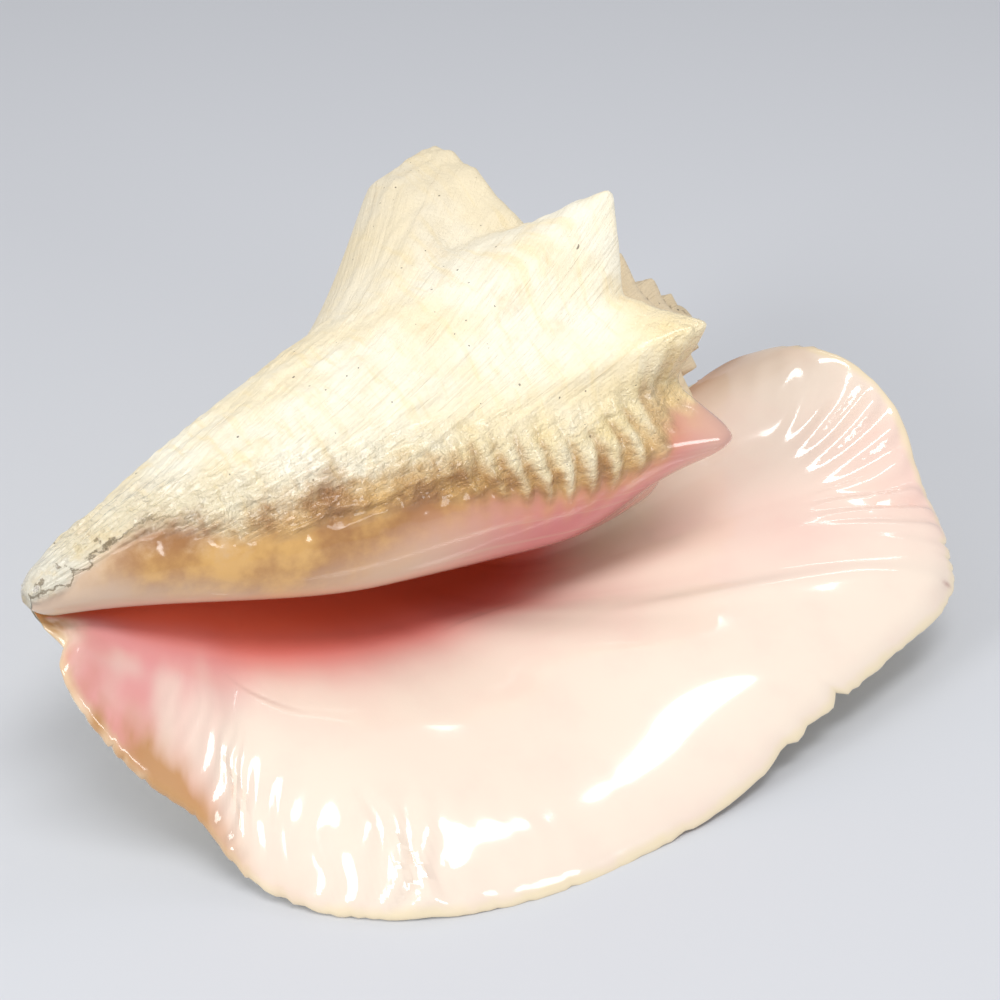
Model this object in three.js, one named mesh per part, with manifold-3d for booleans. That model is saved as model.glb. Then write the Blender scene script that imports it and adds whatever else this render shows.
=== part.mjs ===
import * as THREE from "three";
import { ParametricGeometry } from "three/addons/geometries/ParametricGeometry.js";
import { mergeGeometries, mergeVertices } from "three/addons/utils/BufferGeometryUtils.js";
import Module from "manifold-3d";

// Whorl sizes, in millimetres, along an axis that runs from the siphon tip to the apex
const AXIS_LENGTH = 225;
const SHOULDER_RADIUS = 62;
const SPIRE_HEIGHT = 84;
const WHORL_GROWTH = 1.6;
const SIPHON_RADIUS = 3.5;
const SIPHON_ROUNDING = 6;
const RAMP_SLOPE = 1.35;
const RAMP_CURVE = 0.006;
const SHOULDER_SOFTNESS = 5;
const SHOULDER_LIFT = 1.5;

// Body profile below the shoulder: a straight part, a bulge and a late rise
const PROFILE_STRAIGHT = 0.9;
const PROFILE_BULGE = 0.45;
const PROFILE_RISE = 0.1;

// Knobs on the shoulder: growth angle in degrees (0 at the lip), height, width, bluntness, foot length
const KNOBS = [
  { angle: -85, height: 24, width: 1.0, blunt: 3, foot: 82 },
  { angle: -125, height: 24, width: 1.0, blunt: 2, foot: 82 },
  { angle: -177.5, height: 32.5, width: 1.3, blunt: 26, foot: 42 },
  { angle: -242.5, height: 20, width: 1.05, blunt: 1.5, foot: 82 },
  { angle: -282.5, height: 20, width: 0.9, blunt: 1.5, foot: 82 },
  { angle: -312.5, height: 20, width: 0.9, blunt: 5, foot: 82 },
];
const EARLY_KNOB = { first: -412.5, step: 45, last: -1600, height: 12, width: 0.8, blunt: 2, foot: 82 };
const KNOB_SPREAD = 26;
const KNOB_SHARPNESS = 1.7;
const KNOB_FOOT_POWER = 1.5;
const KNOB_FOOT_SPREAD = 1.6;
const KNOB_BACK = 15;
const KNOB_BLEND = 2.6;
const BLUNT_SHARE = 0.4;
const BLUNT_FOOT = 0.85;
const KNOB_LEAN = THREE.MathUtils.degToRad(18);

// Core: every whorl up to the seam, where the open last whorl takes over
const SEAM = -137.5;
const EARLIER_WHORLS = 4;
const CORE_STEPS_ROUND = 72;
const CORE_ROWS_LOW = 12;
const CORE_ROWS_HIGH = 23;
const CORE_SPLIT_HEIGHT = 140;

// Callus: the glazed swelling of the core that faces the aperture
const CALLUS_ANGLE = 12;
const CALLUS_SPREAD = 40;
const CALLUS_INNER_SPREAD = 26;
const CALLUS_THICKNESS = 9;
const CALLUS_START = 8;
const CALLUS_FULL = 85;
const CALLUS_END = 135;
const CALLUS_STOP = 195;

// Thinned inner walls behind the callus
const THIN_SHARE = 0.24;
const THIN_EASE = 40;
const THIN_TOP = 160;
const THIN_FADE = 30;

// Last whorl and lip: a sheet that leaves the core and flares out to the lip edge
const SHEET_START = -145;
const SHEET_SINK = 0.9;
const SHEET_PROUD = 0.45;
const FLARE_START = -65;
const SHEET_LOW = 3;
const SHEET_TOP = 24.8;
const WHORL_THICKNESS = 5;
const LIP_THICKNESS = 4.2;
const RIM_PART = 0.05;
const SIDE_PART = 0.04;
const SUTURE_PART = 0.79;
const SUTURE_PULL = 0.53;
const SIPHON_PART = 0.22;
const SIPHON_THINNING = 0.35;
const BODY_PART = 0.42;
const SHEET_STEPS_BODY = 16;
const SHEET_STEPS_FLARE = 12;
const SHEET_STEPS_RIM = 2;
const SHEET_STEPS_ACROSS = 33;
const FLARE_CURL = new THREE.Vector3(0.25, 0, -0.55);
const CURL_FADE = 0.7;
const CURL_END = 0.88;

// Lip edge from the siphon notch round to the spire: across, along the axis, towards the front
const LIP_EDGE = [
  [7, 3, -4],
  [14, 5, -4],
  [20, 1, -2],
  [37, 4, -6],
  [51, 10, -9],
  [64, 17, -9],
  [82, 21, -8],
  [98, 31, 1],
  [110, 48, 12],
  [119, 72, 19.8],
  [123, 98, 24],
  [123, 129, 29.5],
  [116, 162, 37],
  [112, 189, 40],
  [106, 217, 42],
  [94, 226, 41],
  [77, 233, 37],
  [50, 239, 37],
  [28, 232, 31],
  [18, 224, 5],
  [23, 211, 2],
  [19, 191, -6],
];

// Resting place of the shell: axis heading, axis pitch and roll, in degrees, then height
const HEADING = 40;
const PITCH = -2;
const ROLL = 40;
const REST_HEIGHT = 59.6;
const AXIS_MIDDLE = 110;

const TABLE_WIDTH = 600;
const TABLE_DEPTH = 40;
const MERGE_DISTANCE = 1e-4;
const TANGENT_STEP = 0.002;
const ANGLE_STEP = 0.001;
const TINY = 1e-6;

const TURN = 2 * Math.PI;
const GROWTH_RATE = Math.log(WHORL_GROWTH) / TURN;
const radians = THREE.MathUtils.degToRad;

function earlyKnobs() {
  const found = [];
  for (let angle = EARLY_KNOB.first; angle > EARLY_KNOB.last; angle -= EARLY_KNOB.step) {
    const height = EARLY_KNOB.height * scaleAt(radians(angle));
    found.push({ ...EARLY_KNOB, angle, height });
  }
  return found;
}

function scaleAt(angle) {
  return Math.exp(GROWTH_RATE * angle);
}

function shoulderHeight(angle) {
  return AXIS_LENGTH - SPIRE_HEIGHT * scaleAt(angle);
}

function softMin(a, b, softness) {
  return 0.5 * (a + b - Math.hypot(a - b, softness));
}

// Radius of the whorl without its knobs, at a growth angle and a height on the axis
function whorlRadius(angle, height) {
  const scale = scaleAt(angle);
  const shoulder = shoulderHeight(angle);
  const full = SHOULDER_RADIUS * scale;
  const part = THREE.MathUtils.clamp(height / shoulder, 0, 1);
  const share = PROFILE_STRAIGHT * part + PROFILE_BULGE * part * (1 - part) + PROFILE_RISE * part ** 3;
  const below = SIPHON_RADIUS + (full - SIPHON_RADIUS) * share;
  const past = height - shoulder;
  const ramp = full - RAMP_SLOPE * past + (RAMP_CURVE * past * past) / scale;
  const lift = SHOULDER_LIFT * scale;
  return softMin(below + lift, ramp + lift, SHOULDER_SOFTNESS * scale);
}

const allKnobs = [...KNOBS, ...earlyKnobs()];

// How far the knobs stand off the whorl: a cusp round the whorl, a long foot below, blended
function knobHeight(angle, height) {
  const scale = scaleAt(angle);
  const past = height - shoulderHeight(angle);
  const degrees = THREE.MathUtils.radToDeg(angle);
  let total = 0;
  for (const knob of allKnobs) {
    const off = Math.hypot(degrees - knob.angle, knob.blunt / 2) - BLUNT_SHARE * knob.blunt;
    const foot = Math.max(-past - BLUNT_FOOT * knob.blunt, 0) / (knob.foot * scale);
    const spread = KNOB_SPREAD * knob.width * (1 + KNOB_FOOT_SPREAD * Math.min(foot, 1));
    const near = Math.max(1 - off / spread, 0) ** KNOB_SHARPNESS;
    const back = Math.max(past, 0) / (KNOB_BACK * scale);
    const side = Math.max(1 - foot, 0) ** KNOB_FOOT_POWER * Math.max(1 - back, 0) ** KNOB_FOOT_POWER;
    total += (knob.height * near * side) ** KNOB_BLEND;
  }
  return total ** (1 / KNOB_BLEND);
}

// A point in the shell's frame: x across towards the lip, y along the axis, z to the front
function shellPoint(angle, height, radius, knob, target) {
  const reach = radius + knob * Math.cos(KNOB_LEAN);
  const along = height + knob * Math.sin(KNOB_LEAN);
  return target.set(reach * Math.cos(angle), along, reach * Math.sin(angle));
}

function callusThickness(round, height) {
  const away = round - radians(CALLUS_ANGLE);
  const off = away / radians(away < 0 ? CALLUS_INNER_SPREAD : CALLUS_SPREAD);
  const rise = THREE.MathUtils.smoothstep(height, CALLUS_START, CALLUS_FULL);
  const fall = 1 - THREE.MathUtils.smoothstep(height, CALLUS_END, CALLUS_STOP);
  return CALLUS_THICKNESS * Math.exp(-off * off) * rise * fall;
}

// Share of the radius left on the walls inside the aperture, which the animal thins as it grows
function thinning(round, height) {
  const degrees = THREE.MathUtils.radToDeg(round);
  const opens = THREE.MathUtils.smoothstep(degrees, SEAM, SEAM + THIN_EASE);
  const closes = 1 - THREE.MathUtils.smoothstep(degrees, -THIN_EASE, 0);
  const low = 1 - THREE.MathUtils.smoothstep(height, THIN_TOP - THIN_FADE, THIN_TOP);
  return 1 - THIN_SHARE * opens * closes * low;
}

function corePoint(a, b, target) {
  const lastStep = 1 - 1 / (CORE_STEPS_ROUND + 1);
  const turned = a > lastStep + TINY ? 0 : a / lastStep;
  const round = radians(SEAM) + TURN * turned;
  const lowPart = CORE_ROWS_LOW / (CORE_ROWS_LOW + CORE_ROWS_HIGH);
  const low = (CORE_SPLIT_HEIGHT * b) / lowPart;
  const high = CORE_SPLIT_HEIGHT + ((AXIS_LENGTH - CORE_SPLIT_HEIGHT) * (b - lowPart)) / (1 - lowPart);
  const height = b < lowPart ? low : Math.min(high, AXIS_LENGTH);
  let radius = 0;
  let knob = 0;
  for (let whorl = 0; whorl <= EARLIER_WHORLS; whorl += 1) {
    const angle = round - TURN * (whorl + 1);
    const nextRadius = whorlRadius(angle, height);
    const nextKnob = knobHeight(angle, height);
    if (nextRadius + nextKnob > radius + knob) {
      radius = nextRadius;
      knob = nextKnob;
    }
  }
  const facing = round > Math.PI ? round - TURN : round;
  const callus = callusThickness(facing, height);
  const tip = THREE.MathUtils.clamp(height / SIPHON_ROUNDING, 0, 1);
  radius = (radius * thinning(facing, height) + callus) * Math.sqrt(tip * (2 - tip));
  if (AXIS_LENGTH - height < TINY) {
    radius = 0;
    knob = 0;
  }
  return shellPoint(round, height, radius, knob, target);
}

// Body whorl at a growth angle, drawn in towards the axis where it joins the whorl before
function bodySection(angle, across, withKnobs, target) {
  const top = shoulderHeight(angle) + SHEET_TOP * scaleAt(angle);
  const height = THREE.MathUtils.lerp(SHEET_LOW, top, across);
  const out = THREE.MathUtils.smoothstep(angle, radians(SHEET_START), radians(SEAM));
  const radius = whorlRadius(angle, height) + THREE.MathUtils.lerp(-SHEET_SINK, SHEET_PROUD, out);
  const knob = knobHeight(angle, height) * (withKnobs ? 1 : 1 - out);
  const pull = 1 - SUTURE_PULL * THREE.MathUtils.smoothstep(across, SUTURE_PART, 1);
  shellPoint(angle, height, radius, knob, target);
  target.x *= pull;
  target.z *= pull;
  return target;
}

const lipPoints = LIP_EDGE.map((point) => new THREE.Vector3(...point));
const lipCurve = new THREE.CatmullRomCurve3(lipPoints, false, "centripetal");

// The sheet without thickness: body whorl first, then a Hermite curve out to the lip edge
function sheetPoint(along, across, withKnobs, target) {
  const flare = radians(FLARE_START);
  if (along < BODY_PART) {
    const angle = THREE.MathUtils.lerp(radians(SHEET_START), flare, along / BODY_PART);
    return bodySection(angle, across, withKnobs, target);
  }
  const start = bodySection(flare, across, withKnobs, new THREE.Vector3());
  const plain = bodySection(flare, across, false, new THREE.Vector3());
  const leave = bodySection(flare + ANGLE_STEP, across, false, new THREE.Vector3()).sub(plain).normalize();
  const edge = lipCurve.getPoint(across);
  const reach = edge.distanceTo(start);
  const arrive = edge.clone().sub(start).normalize();
  arrive.addScaledVector(FLARE_CURL, 1 - THREE.MathUtils.smoothstep(across, CURL_FADE, CURL_END)).normalize();
  const t = (along - BODY_PART) / (1 - BODY_PART);
  target.copy(start).multiplyScalar(2 * t ** 3 - 3 * t ** 2 + 1);
  target.addScaledVector(leave, reach * (t ** 3 - 2 * t ** 2 + t));
  target.addScaledVector(edge, -2 * t ** 3 + 3 * t ** 2);
  return target.addScaledVector(arrive, reach * (t ** 3 - t ** 2));
}

function roundOff(distance, part) {
  const inside = THREE.MathUtils.clamp(distance / part, 0, 1);
  return Math.sqrt(inside * (2 - inside));
}

function sheetSide(inner) {
  const normal = new THREE.Vector3();
  const alongTangent = new THREE.Vector3();
  const acrossTangent = new THREE.Vector3();
  return (a, b, target) => {
    const along = spaced(a);
    const across = b;
    sheetPoint(along, across, !inner, target);
    sheetPoint(Math.min(along + TANGENT_STEP, 1), across, false, alongTangent);
    alongTangent.sub(sheetPoint(Math.max(along - TANGENT_STEP, 0), across, false, new THREE.Vector3()));
    sheetPoint(along, Math.min(across + TANGENT_STEP, 1), false, acrossTangent);
    acrossTangent.sub(sheetPoint(along, Math.max(across - TANGENT_STEP, 0), false, new THREE.Vector3()));
    normal.crossVectors(alongTangent, acrossTangent).normalize();
    const edges = roundOff(1 - along, RIM_PART) * roundOff(along, SIDE_PART);
    const sides = roundOff(across, SIDE_PART) * roundOff(1 - across, SIDE_PART);
    const flared = THREE.MathUtils.smoothstep(along, BODY_PART, 1);
    const fill = THREE.MathUtils.lerp(SIPHON_THINNING, 1, THREE.MathUtils.smoothstep(across, 0, SIPHON_PART));
    const thickness = THREE.MathUtils.lerp(WHORL_THICKNESS, LIP_THICKNESS, flared) * edges * sides * fill;
    const share = inner ? 1 - 0.5 * flared : -0.5 * flared;
    return target.addScaledVector(normal, thickness * share);
  };
}

const sheetSteps = SHEET_STEPS_BODY + SHEET_STEPS_FLARE + SHEET_STEPS_RIM;

// Where each step along the sheet falls: even on the body, even on the flare, short at the rim
function spaced(a) {
  const index = Math.round(a * sheetSteps);
  if (index <= SHEET_STEPS_BODY) {
    return (BODY_PART * index) / SHEET_STEPS_BODY;
  }
  const onFlare = (index - SHEET_STEPS_BODY) / SHEET_STEPS_FLARE;
  if (onFlare <= 1) {
    return THREE.MathUtils.lerp(BODY_PART, 1 - RIM_PART, onFlare);
  }
  const left = (sheetSteps - index) / SHEET_STEPS_RIM;
  return 1 - RIM_PART * left * left;
}

const wasm = await Module();
wasm.setup();

// A closed solid; where two sides meet at a corner, a triangle and its reverse are left out
function toSolid(geometry) {
  const bare = geometry.clone();
  bare.deleteAttribute("normal");
  bare.deleteAttribute("uv");
  const merged = mergeVertices(bare, MERGE_DISTANCE);
  const triangles = new Map();
  for (let i = 0; i < merged.index.count; i += 3) {
    const corners = [0, 1, 2].map((k) => merged.index.getX(i + k));
    if (new Set(corners).size === 3) {
      const key = [...corners].sort((a, b) => a - b).join(" ");
      if (!triangles.delete(key)) {
        triangles.set(key, corners);
      }
    }
  }
  const kept = [...triangles.values()].flat();
  const mesh = new wasm.Mesh({
    numProp: 3,
    vertProperties: new Float32Array(merged.attributes.position.array),
    triVerts: new Uint32Array(kept),
  });
  return new wasm.Manifold(mesh);
}

function toGeometry(solid) {
  const mesh = solid.getMesh();
  const geometry = new THREE.BufferGeometry();
  geometry.setAttribute("position", new THREE.BufferAttribute(new Float32Array(mesh.vertProperties), 3));
  geometry.setIndex(new THREE.BufferAttribute(new Uint32Array(mesh.triVerts), 1));
  geometry.computeVertexNormals();
  return geometry;
}

function turnedOver(geometry) {
  const index = geometry.index;
  for (let i = 0; i < index.count; i += 3) {
    const second = index.getX(i + 1);
    index.setX(i + 1, index.getX(i + 2));
    index.setX(i + 2, second);
  }
  return geometry;
}

// Turn from the shell's frame to the resting one
function restingMatrix() {
  const heading = radians(HEADING);
  const pitch = radians(PITCH);
  const roll = radians(ROLL);
  const ahead = Math.cos(pitch);
  const axis = new THREE.Vector3(Math.cos(heading) * ahead, Math.sin(heading) * ahead, Math.sin(pitch));
  const level = axis.clone().cross(new THREE.Vector3(0, 0, 1)).normalize();
  const upright = level.clone().cross(axis);
  const toLip = level.clone().multiplyScalar(Math.cos(roll)).addScaledVector(upright, -Math.sin(roll));
  const toFront = level.clone().multiplyScalar(Math.sin(roll)).addScaledVector(upright, Math.cos(roll));
  const turned = new THREE.Matrix4().makeBasis(toLip, axis, toFront);
  const centred = new THREE.Matrix4().makeTranslation(0, -AXIS_MIDDLE, 0);
  return new THREE.Matrix4().makeTranslation(0, 0, REST_HEIGHT).multiply(turned).multiply(centred);
}

const coreRows = CORE_ROWS_LOW + CORE_ROWS_HIGH;
const core = turnedOver(new ParametricGeometry(corePoint, CORE_STEPS_ROUND + 1, coreRows));
const outside = turnedOver(new ParametricGeometry(sheetSide(false), sheetSteps, SHEET_STEPS_ACROSS));
const inside = new ParametricGeometry(sheetSide(true), sheetSteps, SHEET_STEPS_ACROSS);
const sheet = mergeGeometries([outside, inside]);
core.applyMatrix4(restingMatrix());
sheet.applyMatrix4(restingMatrix());

// What stands on the table is worn flat at height zero
const table = new THREE.BoxGeometry(TABLE_WIDTH, TABLE_WIDTH, TABLE_DEPTH);
table.translate(0, 0, -TABLE_DEPTH / 2);
const grown = toSolid(core).add(toSolid(sheet));
const whole = toGeometry(grown.subtract(toSolid(table)));
whole.computeBoundingBox();
const middle = whole.boundingBox.getCenter(new THREE.Vector3());
whole.translate(-middle.x, -middle.y, 0);

const shellMaterial = new THREE.MeshStandardMaterial({ color: 0xe9d9c4, roughness: 0.45, metalness: 0 });
shellMaterial.name = "shell";
const shell = new THREE.Mesh(whole, shellMaterial);
shell.name = "conch_shell";

const group = new THREE.Group();
group.name = "conch";
group.add(shell);

export default group;
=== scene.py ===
import logging
import math
from dataclasses import dataclass, field
from enum import Enum, IntEnum

import bpy
import numpy as np
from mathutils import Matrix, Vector


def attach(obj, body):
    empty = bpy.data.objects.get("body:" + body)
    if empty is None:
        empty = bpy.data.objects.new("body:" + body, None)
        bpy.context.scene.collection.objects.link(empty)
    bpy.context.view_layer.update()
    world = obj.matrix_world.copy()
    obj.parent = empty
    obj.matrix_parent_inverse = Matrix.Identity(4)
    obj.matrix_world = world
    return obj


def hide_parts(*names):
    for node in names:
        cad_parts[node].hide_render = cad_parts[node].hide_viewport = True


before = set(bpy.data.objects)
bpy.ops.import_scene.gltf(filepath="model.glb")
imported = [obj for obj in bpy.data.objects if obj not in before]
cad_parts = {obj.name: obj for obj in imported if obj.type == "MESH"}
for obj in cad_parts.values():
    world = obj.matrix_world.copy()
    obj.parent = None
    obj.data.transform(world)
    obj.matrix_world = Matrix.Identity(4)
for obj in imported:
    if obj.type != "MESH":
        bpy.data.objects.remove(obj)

log = logging.getLogger("conch")

Array = np.ndarray
Masks = dict[str, Array]
Point = tuple[float, float, float]
Paint = tuple[int, int, int]
Span = tuple[float, float]
Socket = bpy.types.NodeSocket

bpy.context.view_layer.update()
NODE = "conch_shell"
MM = 0.001
TURN = 2.0 * math.pi

# Cells along each side of the noise lattice, and the step that keeps the octaves of two seeds apart.
NOISE_CELLS = 97
SEED_STEP = 17

# Angle of the seam where the core meets the last whorl, and the knobs' lean towards the spire.
SEAM = math.radians(-137.5)
KNOB_LEAN = math.radians(18.0)

# Degrees that a growth line slants back for each millimetre of height.
GROWTH_SLANT = 0.5

# Glaze mask well out on the chalk and well inside the glaze, and rim mask far from the lip edge.
FULL_CHALK = -40.0
FULL_GLAZE = 40.0
FAR_FROM_RIM = 60.0

# Edges sharper than this are shaded as edges.
SHARP_ANGLE = math.radians(60.0)


class Seed(IntEnum):
    """Which random heights each noise takes."""

    RIB_SWAY = 3
    CORD_STRENGTH = 5
    GROWTH_LINES = 7
    LUMPS = 11
    WRINKLES = 13
    CRUST = 19
    FOLD_WOBBLE = 23
    FOLD_STRENGTH = 29
    SLOW_WAVES = 31
    CHIPS = 37
    CHIPPED_STRETCHES = 41
    SIPHON_BLUSH = 53
    BLUSH = 59
    STAIN = 61


class Mixed(Enum):
    """What a Mix node mixes: its data type, the numbers of its two inputs and of its output."""

    VALUE = ("FLOAT", 2, 3, 0)
    COLOUR = ("RGBA", 6, 7, 2)


class Side(Enum):
    """The two faces of the last whorl's wall."""

    OUTER = "outer"
    INNER = "inner"


def clamp(x: Array, low: float = 0.0, high: float = 1.0) -> Array:
    """Hold x between low and high."""
    return np.minimum(np.maximum(x, low), high)


def ease(x: Array, low: float, high: float) -> Array:
    """Smooth step: 0 at low, 1 at high, with level ends.

    Args:
        x: Values to ease.
        low: Where the step starts.
        high: Where the step ends.

    Returns:
        t * t * (3 - 2 t), where t is the share of the way from low to high.
    """
    t = clamp((x - low) / (high - low))
    return t * t * (3.0 - 2.0 * t)


def mix(a: Array, b: Array, share: Array) -> Array:
    """Straight mix of a and b."""
    return a + (b - a) * share


def bell(x: Array, middle: float, width: float) -> Array:
    """Bell curve of height 1 about middle, exp of minus the square of the offset over width."""
    return np.exp(-(((x - middle) / width) ** 2))


def wander(u: Array, v: Array, seed: Seed, octaves: int = 3) -> Array:
    """Smooth noise between about -1 and 1.

    Random heights on a unit lattice, eased between neighbours, summed over
    octaves that each have half the size and half the height of the one before.

    Args:
        u: First coordinate, in cells.
        v: Second coordinate, in cells.
        seed: Chooses the random heights.
        octaves: How many sizes are summed.

    Returns:
        The noise, with the shape that u and v make together.
    """
    u, v = np.broadcast_arrays(np.asarray(u, float), np.asarray(v, float))
    cells = NOISE_CELLS
    total = np.zeros(u.shape)
    for octave in range(octaves):
        heights = np.random.default_rng(seed * SEED_STEP + octave).uniform(-1.0, 1.0, (cells, cells))
        x, y = u * 2.0**octave, v * 2.0**octave
        i, j = np.floor(x).astype(int), np.floor(y).astype(int)
        s, t = ease(x - i, 0.0, 1.0), ease(y - j, 0.0, 1.0)
        i0, i1, j0, j1 = i % cells, (i + 1) % cells, j % cells, (j + 1) % cells
        near = mix(heights[i0, j0], heights[i1, j0], s)
        far = mix(heights[i0, j1], heights[i1, j1], s)
        total += mix(near, far, t) / 2.0**octave
    return total


def length(points: Array) -> Array:
    """Length of each vector, kept as a last axis of one."""
    return np.linalg.norm(points, axis=-1, keepdims=True)


def unit(points: Array) -> Array:
    """Each vector divided by its length."""
    return points / np.maximum(length(points), 1e-9)


def round_axis(radius: Array, knob: Array, angle: Array, height: Array) -> Array:
    """Points round the axis, where a knob stands off the radius and leans towards the spire.

    The reach is the radius plus the knob times the cosine of its lean, and the
    place along the axis is the height plus the knob times the sine.

    Args:
        radius: Radius without knobs.
        knob: How far the knob stands off.
        angle: Angle round the axis in radians.
        height: Height on the axis.

    Returns:
        Points in the shell's frame.
    """
    reach = radius + knob * math.cos(KNOB_LEAN)
    along = height + knob * math.sin(KNOB_LEAN)
    parts = np.broadcast_arrays(reach * np.cos(angle), along, reach * np.sin(angle))
    return np.stack(parts, axis=-1)


@dataclass(frozen=True)
class Growth:
    """How the whorls grow round the axis, in millimetres; angle 0 is at the lip."""

    axis_length: float = 225.0
    shoulder_radius: float = 62.0
    spire_height: float = 84.0
    whorl_growth: float = 1.6
    siphon_radius: float = 3.5
    ramp_slope: float = 1.35
    ramp_curve: float = 0.006
    softness: float = 5.0
    lift: float = 1.5
    straight: float = 0.9
    bulge: float = 0.45
    rise: float = 0.1

    def scale(self, angle: Array) -> Array:
        """Size of the whorl: 1 at the lip, and whorl_growth times smaller each turn back."""
        return np.exp(math.log(self.whorl_growth) / TURN * angle)

    def shoulder(self, angle: Array) -> Array:
        """Height of the shoulder on the axis."""
        return self.axis_length - self.spire_height * self.scale(angle)

    def radius(self, angle: Array, height: Array) -> Array:
        """Radius of the whorl without knobs.

        The smaller of a body that widens up to the shoulder and a ramp that
        falls from it to the spire, joined by a soft minimum.

        Args:
            angle: Growth angle in radians.
            height: Height on the axis.

        Returns:
            The radius.
        """
        scale, shoulder = self.scale(angle), self.shoulder(angle)
        full = self.shoulder_radius * scale
        part = clamp(height / shoulder)
        share = self.straight * part + self.bulge * part * (1.0 - part) + self.rise * part**3
        below = self.siphon_radius + (full - self.siphon_radius) * share
        past = height - shoulder
        ramp = full - self.ramp_slope * past + self.ramp_curve * past * past / scale
        a, b = below + self.lift * scale, ramp + self.lift * scale
        return 0.5 * (a + b - np.hypot(a - b, self.softness * scale))


@dataclass(frozen=True)
class Knob:
    """One knob on the shoulder: growth angle in degrees, height, width, bluntness and foot length."""

    angle: float
    height: float
    width: float
    blunt: float
    foot: float = 82.0


@dataclass(frozen=True)
class Knobs:
    """The row of knobs: a cusp round the whorl, a long foot below it and a short back."""

    growth: Growth = Growth()
    last: tuple[Knob, ...] = (
        Knob(-85.0, 24.0, 1.0, 3.0),
        Knob(-125.0, 24.0, 1.0, 2.0),
        Knob(-177.5, 32.5, 1.3, 26.0, 42.0),
        Knob(-242.5, 20.0, 1.05, 1.5),
        Knob(-282.5, 20.0, 0.9, 1.5),
        Knob(-312.5, 20.0, 0.9, 5.0),
    )
    early_first: float = -412.5
    early_step: float = 45.0
    early_last: float = -1600.0
    early: Knob = Knob(0.0, 12.0, 0.8, 2.0)
    spread: float = 26.0
    sharpness: float = 1.7
    foot_power: float = 1.5
    foot_spread: float = 1.6
    back: float = 15.0
    blend: float = 2.6
    blunt_share: float = 0.4
    blunt_foot: float = 0.85

    def row(self) -> list[Knob]:
        """All knobs from the lip back to the apex.

        Returns:
            The last whorl's own knobs, then evenly spaced early ones that shrink with their whorl.
        """
        found = list(self.last)
        for angle in np.arange(self.early_first, self.early_last, -self.early_step):
            height = self.early.height * float(self.growth.scale(math.radians(angle)))
            found.append(Knob(float(angle), height, self.early.width, self.early.blunt))
        return found

    def stand_off(self, angle: Array, height: Array) -> Array:
        """How far the knobs stand off the whorl.

        Each knob is its height times a power of its nearness round the whorl
        times its fading foot or back; the knobs join by a power mean.

        Args:
            angle: Growth angle in radians.
            height: Height on the axis.

        Returns:
            The stand-off in millimetres.
        """
        scale = self.growth.scale(angle)
        past = height - self.growth.shoulder(angle)
        degrees = np.degrees(angle)
        back = np.maximum(past, 0.0) / (self.back * scale)
        total = 0.0
        for knob in self.row():
            off = np.hypot(degrees - knob.angle, knob.blunt / 2.0) - self.blunt_share * knob.blunt
            foot = np.maximum(-past - self.blunt_foot * knob.blunt, 0.0) / (knob.foot * scale)
            spread = self.spread * knob.width * (1.0 + self.foot_spread * np.minimum(foot, 1.0))
            near = np.maximum(1.0 - off / spread, 0.0) ** self.sharpness
            side = (clamp(1.0 - foot) * clamp(1.0 - back)) ** self.foot_power
            total = total + (knob.height * near * side) ** self.blend
        return total ** (1.0 / self.blend)


@dataclass(frozen=True)
class Resting:
    """Turns the shell's own frame into the row frame, in metres."""

    heading: float = math.radians(40.0)
    pitch: float = math.radians(-2.0)
    roll: float = math.radians(40.0)
    height: float = 59.6
    axis_middle: float = 110.0
    centre: tuple[float, float] = (32.858, -14.129)

    def place(self, points: Array) -> Array:
        """Turn, lift and centre points, then wear flat what would stand under the floor.

        Args:
            points: Points in the shell's frame: towards the lip, along the axis, to the front.

        Returns:
            Points in the row frame, in metres.
        """
        ahead, up = math.cos(self.pitch), math.sin(self.pitch)
        axis = np.array([math.cos(self.heading) * ahead, math.sin(self.heading) * ahead, up])
        level = np.cross(axis, [0.0, 0.0, 1.0])
        level = level / np.linalg.norm(level)
        upright = np.cross(level, axis)
        to_lip = level * math.cos(self.roll) - upright * math.sin(self.roll)
        to_front = level * math.sin(self.roll) + upright * math.cos(self.roll)
        turned = (points - np.array([0.0, self.axis_middle, 0.0])) @ np.array([to_lip, axis, to_front])
        turned += np.array([-self.centre[0], -self.centre[1], self.height])
        turned[..., 2] = np.maximum(turned[..., 2], 0.0)
        return turned * MM


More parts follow.
